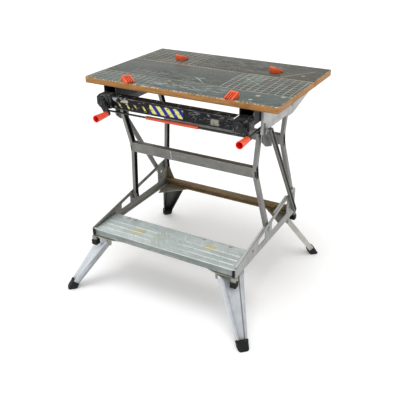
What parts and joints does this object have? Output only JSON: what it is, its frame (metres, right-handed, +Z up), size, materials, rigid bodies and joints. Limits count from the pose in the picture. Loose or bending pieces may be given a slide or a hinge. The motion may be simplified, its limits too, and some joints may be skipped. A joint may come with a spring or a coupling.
{
  "type": "folding workbench",
  "caption": "Folding workbench with a clamping worktop moved by cranks, swivel pegs, folding channel frames, a step and flip-down legs.",
  "frame": {"origin": "on the floor, at the middle of the four boots", "axes": "+X to the right seen from the cranks' side, +Y to the back, +Z up"},
  "size_m": [0.7956, 0.7576, 0.8113],
  "materials": {
    "board": "grey printed face over plywood, worn and scratched",
    "grey_steel": "grey paint, worn",
    "bright_steel": "bright zinc",
    "galvanised": "galvanised sheet, scuffed",
    "dirty_steel": "brown with dirt",
    "black_paint": "black gloss paint, dusty",
    "black_plastic": "black moulded plastic",
    "rubber": "black rubber",
    "orange_plastic": "orange-red moulded plastic",
    "dark_steel": "dark grey, worn"
  },
  "bodies": {
    "base": {"step_tread": "galvanised", "rear_stretcher": "dirty_steel", "step_corner_cap_right": "rubber", "step_corner_cap_left": "rubber", "base_arm_right": "grey_steel", "base_arm_left": "grey_steel", "corner_bracket_front_right": "grey_steel", "corner_bracket_front_left": "grey_steel", "corner_bracket_rear_right": "grey_steel", "corner_bracket_rear_left": "grey_steel", "low_foot_front_right": "rubber", "low_foot_front_left": "rubber", "low_foot_rear_right": "rubber", "low_foot_rear_left": "rubber", "front_pivot_pin_right": "bright_steel", "front_pivot_pin_left": "bright_steel", "rear_pivot_pin_right": "bright_steel", "rear_pivot_pin_left": "bright_steel"},
    "front_frame": {"front_frame_leg_right": "grey_steel", "front_frame_leg_left": "grey_steel", "front_crossbar": "grey_steel"},
    "rear_frame": {"rear_frame_leg_right": "grey_steel", "rear_frame_leg_left": "grey_steel", "rear_crossbar": "grey_steel"},
    "top": {"front_board": "board", "middle_board": "board", "front_beam": "black_paint", "vise_beam_right": "black_paint", "vise_beam_left": "black_paint", "side_plate_right": "grey_steel", "side_plate_left": "grey_steel", "crank_housing_right": "black_plastic", "crank_housing_left": "black_plastic"},
    "rear_jaw": {"rear_board": "board", "jaw_nut_right": "black_plastic", "jaw_nut_left": "black_plastic"},
    "release": {"release_rod": "dark_steel", "release_grip": "orange_plastic"},
    "crank_right": {"vise_screw_right": "bright_steel", "crank_arm_right": "black_plastic"},
    "handle_right": {"crank_handle_right": "orange_plastic"},
    "brace_right": {"brace_right": "dark_steel"},
    "front_peg_right": {"front_peg_right": "orange_plastic"},
    "rear_peg_right": {"rear_peg_right": "orange_plastic"},
    "crank_left": {"vise_screw_left": "bright_steel", "crank_arm_left": "black_plastic"},
    "handle_left": {"crank_handle_left": "orange_plastic"},
    "brace_left": {"brace_left": "dark_steel"},
    "front_peg_left": {"front_peg_left": "orange_plastic"},
    "rear_peg_left": {"rear_peg_left": "orange_plastic"},
    "leg_front_right": {"flip_leg_front_right": "bright_steel", "leg_boot_front_right": "rubber"},
    "leg_front_left": {"flip_leg_front_left": "bright_steel", "leg_boot_front_left": "rubber"},
    "leg_rear_right": {"flip_leg_rear_right": "bright_steel", "leg_boot_rear_right": "rubber"},
    "leg_rear_left": {"flip_leg_rear_left": "bright_steel", "leg_boot_rear_left": "rubber"}
  },
  "joints": [
    {"name": "fold", "type": "hinge", "parent": "base", "child": "front_frame", "pos_m": [0, -0.003, 0.27], "axis": [-1, 0, 0], "range_deg": [0, 84]},
    {"name": "top_level", "type": "hinge", "parent": "front_frame", "child": "top", "pos_m": [0, -0.076, 0.659], "axis": [-1, 0, 0], "range_deg": [-84, 0]},
    {"name": "rear_fold", "type": "hinge", "parent": "base", "child": "rear_frame", "pos_m": [0, 0.238, 0.311], "axis": [-1, 0, 0], "range_deg": [0, 84]},
    {"name": "brace_swing_right", "type": "hinge", "parent": "base", "child": "brace_right", "pos_m": [0, 0.236, 0.246], "axis": [1, 0, 0], "range_deg": [0, 50.4]},
    {"name": "brace_swing_left", "type": "hinge", "parent": "base", "child": "brace_left", "pos_m": [0, 0.236, 0.246], "axis": [1, 0, 0], "range_deg": [0, 50.4]},
    {"name": "crank_turn_left", "type": "hinge", "parent": "top", "child": "crank_left", "pos_m": [-0.264, -0.21, 0.73], "axis": [0, -1, 0], "range_deg": [0, 4321]},
    {"name": "handle_spin_left", "type": "hinge", "parent": "crank_left", "child": "handle_left", "pos_m": [-0.24024, -0.246, 0.68714], "axis": [0, 1, 0], "continuous": true},
    {"name": "crank_turn_right", "type": "hinge", "parent": "top", "child": "crank_right", "pos_m": [0.264, -0.21, 0.73], "axis": [0, -1, 0], "range_deg": [0, 4321]},
    {"name": "handle_spin_right", "type": "hinge", "parent": "crank_right", "child": "handle_right", "pos_m": [0.29742, -0.246, 0.69416], "axis": [0, 1, 0], "continuous": true},
    {"name": "jaw_slide", "type": "slide", "parent": "top", "child": "rear_jaw", "axis": [0, 1, 0], "range_m": [0, 0.096]},
    {"name": "release_lift", "type": "hinge", "parent": "top", "child": "release", "pos_m": [0, -0.084, 0.692], "axis": [-1, 0, 0], "range_deg": [0, 5]},
    {"name": "front_peg_right_swivel", "type": "hinge", "parent": "top", "child": "front_peg_right", "pos_m": [0.205, -0.146, 0.79], "axis": [0, 0, 1], "continuous": true},
    {"name": "front_peg_left_swivel", "type": "hinge", "parent": "top", "child": "front_peg_left", "pos_m": [-0.193, -0.146, 0.79], "axis": [0, 0, 1], "continuous": true},
    {"name": "rear_peg_right_swivel", "type": "hinge", "parent": "rear_jaw", "child": "rear_peg_right", "pos_m": [0.205, 0.22, 0.79], "axis": [0, 0, 1], "continuous": true},
    {"name": "rear_peg_left_swivel", "type": "hinge", "parent": "rear_jaw", "child": "rear_peg_left", "pos_m": [-0.193, 0.22, 0.79], "axis": [0, 0, 1], "continuous": true},
    {"name": "leg_flip_front_right", "type": "hinge", "parent": "base", "child": "leg_front_right", "pos_m": [0.261, -0.242, 0.2], "axis": [0.7071, 0.7071, 0], "range_deg": [0, 130]},
    {"name": "leg_flip_front_left", "type": "hinge", "parent": "base", "child": "leg_front_left", "pos_m": [-0.261, -0.242, 0.2], "axis": [0.7071, -0.7071, 0], "range_deg": [0, 130]},
    {"name": "leg_flip_rear_right", "type": "hinge", "parent": "base", "child": "leg_rear_right", "pos_m": [0.261, 0.242, 0.2], "axis": [-0.7071, 0.7071, 0], "range_deg": [0, 130]},
    {"name": "leg_flip_rear_left", "type": "hinge", "parent": "base", "child": "leg_rear_left", "pos_m": [-0.261, 0.242, 0.2], "axis": [-0.7071, -0.7071, 0], "range_deg": [0, 130]}
  ],
  "couplings": [
    {"joint": "top_level", "follows": "fold", "ratio": -1},
    {"joint": "rear_fold", "follows": "fold", "ratio": 1},
    {"joint": "brace_swing_right", "follows": "fold", "ratio": 0.6},
    {"joint": "brace_swing_left", "follows": "fold", "ratio": 0.6},
    {"joint": "crank_turn_right", "follows": "jaw_slide", "rad_per_m": 785.4},
    {"joint": "crank_turn_left", "follows": "jaw_slide", "rad_per_m": 785.4}
  ]
}
